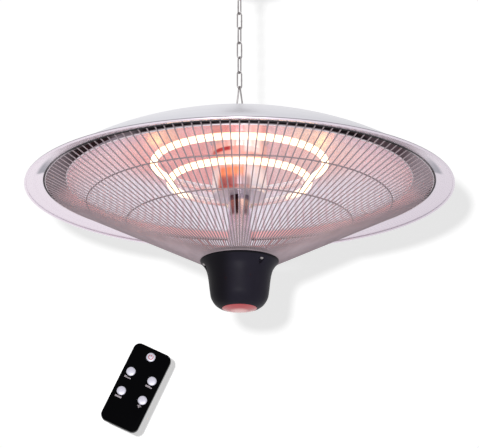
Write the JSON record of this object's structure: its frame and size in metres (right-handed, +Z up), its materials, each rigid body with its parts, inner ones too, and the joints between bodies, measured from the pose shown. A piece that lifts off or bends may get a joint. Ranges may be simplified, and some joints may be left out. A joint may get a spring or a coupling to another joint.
{
  "type": "hanging patio heater",
  "caption": "Round electric patio heater that hangs on a chain: spun dish, polished reflector, ring lamps behind a radial wire guard, control hub with lens, and a hand-held remote.",
  "frame": {"origin": "middle of the ceiling plate's top face, which lies against the ceiling", "axes": "+Z up, out of the ceiling plate into the ceiling; -Y is the side that the picture shows; +X to its right"},
  "size_m": [0.6, 0.6, 0.7283],
  "materials": {
    "zinc_steel": "zinc plated, satin",
    "spun_aluminium": "spun, satin",
    "polished_aluminium": "polished mirror",
    "plated_guard": "bright plated wire",
    "column_chrome": "bright",
    "quartz_glass": "clear, glowing",
    "tungsten": "glowing",
    "lamp_ceramic": "unglazed",
    "black_plastic": "fine moulded, satin",
    "seal_rubber": "matte",
    "terminal_plastic": "moulded",
    "silicone_sleeve": "matte",
    "red_lens": "translucent, glossy",
    "circuit_board": "solder mask",
    "remote_shell": "high gloss",
    "button_plastic": "silver white",
    "cell_steel": "bright"
  },
  "bodies": {
    "root": {"ceiling_plate": "zinc_steel", "ceiling_hook": "zinc_steel", "remote_front": "remote_shell", "remote_back": "remote_shell", "remote_board": "circuit_board"},
    "chain_link_1": {"chain_link_1": "zinc_steel"},
    "chain_link_2": {"chain_link_2": "zinc_steel"},
    "chain_link_3": {"chain_link_3": "zinc_steel"},
    "chain_link_4": {"chain_link_4": "zinc_steel"},
    "chain_link_5": {"chain_link_5": "zinc_steel"},
    "chain_link_6": {"chain_link_6": "zinc_steel"},
    "chain_link_7": {"chain_link_7": "zinc_steel"},
    "hanging_bail": {"hanging_bail": "zinc_steel"},
    "heater": {"hanging_bracket": "zinc_steel", "threaded_rod": "zinc_steel", "rod_nut_top": "zinc_steel", "rod_nut_bottom": "zinc_steel", "reflector_spacer_1": "zinc_steel", "reflector_spacer_2": "zinc_steel", "reflector_spacer_3": "zinc_steel", "lamp_holder_outer": "zinc_steel", "lamp_holder_inner": "zinc_steel", "hub_screw_1": "zinc_steel", "hub_screw_2": "zinc_steel", "hub_screw_3": "zinc_steel", "outer_dish": "spun_aluminium", "inner_reflector": "polished_aluminium", "wire_guard": "plated_guard", "guard_support_outer": "plated_guard", "guard_support_inner": "plated_guard", "hub_plate": "plated_guard", "column_sleeve": "column_chrome", "lamp_can": "column_chrome", "quartz_ring_outer": "quartz_glass", "quartz_ring_inner": "quartz_glass", "filament_outer": "tungsten", "filament_inner": "tungsten", "lamp_cap_outer_left": "lamp_ceramic", "lamp_cap_outer_right": "lamp_ceramic", "lamp_cap_inner_left": "lamp_ceramic", "lamp_cap_inner_right": "lamp_ceramic", "hub_housing": "black_plastic", "wiring_cover": "black_plastic", "cable_gland": "black_plastic", "gland_nut": "black_plastic", "gland_seal": "seal_rubber", "terminal_block": "terminal_plastic", "wiring_loom": "silicone_sleeve", "hub_lens": "red_lens", "control_board": "circuit_board", "receiver_board": "circuit_board"},
    "power_button": {"power_button": "button_plastic"},
    "remote_button_1": {"remote_button_1": "button_plastic"},
    "remote_button_2": {"remote_button_2": "button_plastic"},
    "remote_button_3": {"remote_button_3": "button_plastic"},
    "remote_button_4": {"remote_button_4": "button_plastic"},
    "battery_drawer": {"battery_drawer": "remote_shell", "coin_cell": "cell_steel"}
  },
  "joints": [
    {"name": "chain_link_1_swing", "type": "hinge", "parent": "root", "child": "chain_link_1", "pos_m": [0, 0, -0.032], "axis": [-0.5299, 0.848, 0], "range_deg": [-8, 8]},
    {"name": "chain_link_2_swing", "type": "hinge", "parent": "chain_link_1", "child": "chain_link_2", "pos_m": [0, 0, -0.0535], "axis": [0.848, 0.5299, 0], "range_deg": [-8, 8]},
    {"name": "chain_link_3_swing", "type": "hinge", "parent": "chain_link_2", "child": "chain_link_3", "pos_m": [0, 0, -0.076], "axis": [-0.5299, 0.848, 0], "range_deg": [-8, 8]},
    {"name": "chain_twist", "type": "hinge", "parent": "chain_link_3", "child": "chain_link_4", "pos_m": [0, 0, -0.0985], "axis": [0, 0, 1], "range_deg": [-20, 20]},
    {"name": "chain_link_5_swing", "type": "hinge", "parent": "chain_link_4", "child": "chain_link_5", "pos_m": [0, 0, -0.121], "axis": [-0.5299, 0.848, 0], "range_deg": [-8, 8]},
    {"name": "chain_link_6_swing", "type": "hinge", "parent": "chain_link_5", "child": "chain_link_6", "pos_m": [0, 0, -0.1435], "axis": [0.848, 0.5299, 0], "range_deg": [-8, 8]},
    {"name": "chain_link_7_swing", "type": "hinge", "parent": "chain_link_6", "child": "chain_link_7", "pos_m": [0, 0, -0.166], "axis": [-0.5299, 0.848, 0], "range_deg": [-8, 8]},
    {"name": "bail_swing", "type": "hinge", "parent": "chain_link_7", "child": "hanging_bail", "pos_m": [0, 0, -0.1885], "axis": [0.848, 0.5299, 0], "range_deg": [-12, 12]},
    {"name": "heater_tilt", "type": "hinge", "parent": "hanging_bail", "child": "heater", "pos_m": [0, 0, -0.22805], "axis": [-0.5299, 0.848, 0], "range_deg": [-15, 15]},
    {"name": "power_button_press", "type": "slide", "parent": "root", "child": "power_button", "axis": [0, 1, 0], "range_m": [0, 0.0007], "stiffness_N_per_m": 300},
    {"name": "remote_button_1_press", "type": "slide", "parent": "root", "child": "remote_button_1", "axis": [0, 1, 0], "range_m": [0, 0.0007], "stiffness_N_per_m": 300},
    {"name": "remote_button_2_press", "type": "slide", "parent": "root", "child": "remote_button_2", "axis": [0, 1, 0], "range_m": [0, 0.0007], "stiffness_N_per_m": 300},
    {"name": "remote_button_3_press", "type": "slide", "parent": "root", "child": "remote_button_3", "axis": [0, 1, 0], "range_m": [0, 0.0007], "stiffness_N_per_m": 300},
    {"name": "remote_button_4_press", "type": "slide", "parent": "root", "child": "remote_button_4", "axis": [0, 1, 0], "range_m": [0, 0.0007], "stiffness_N_per_m": 300},
    {"name": "battery_drawer_slide", "type": "slide", "parent": "root", "child": "battery_drawer", "axis": [-0.4274, 0, -0.9041], "range_m": [0, 0.024]}
  ]
}
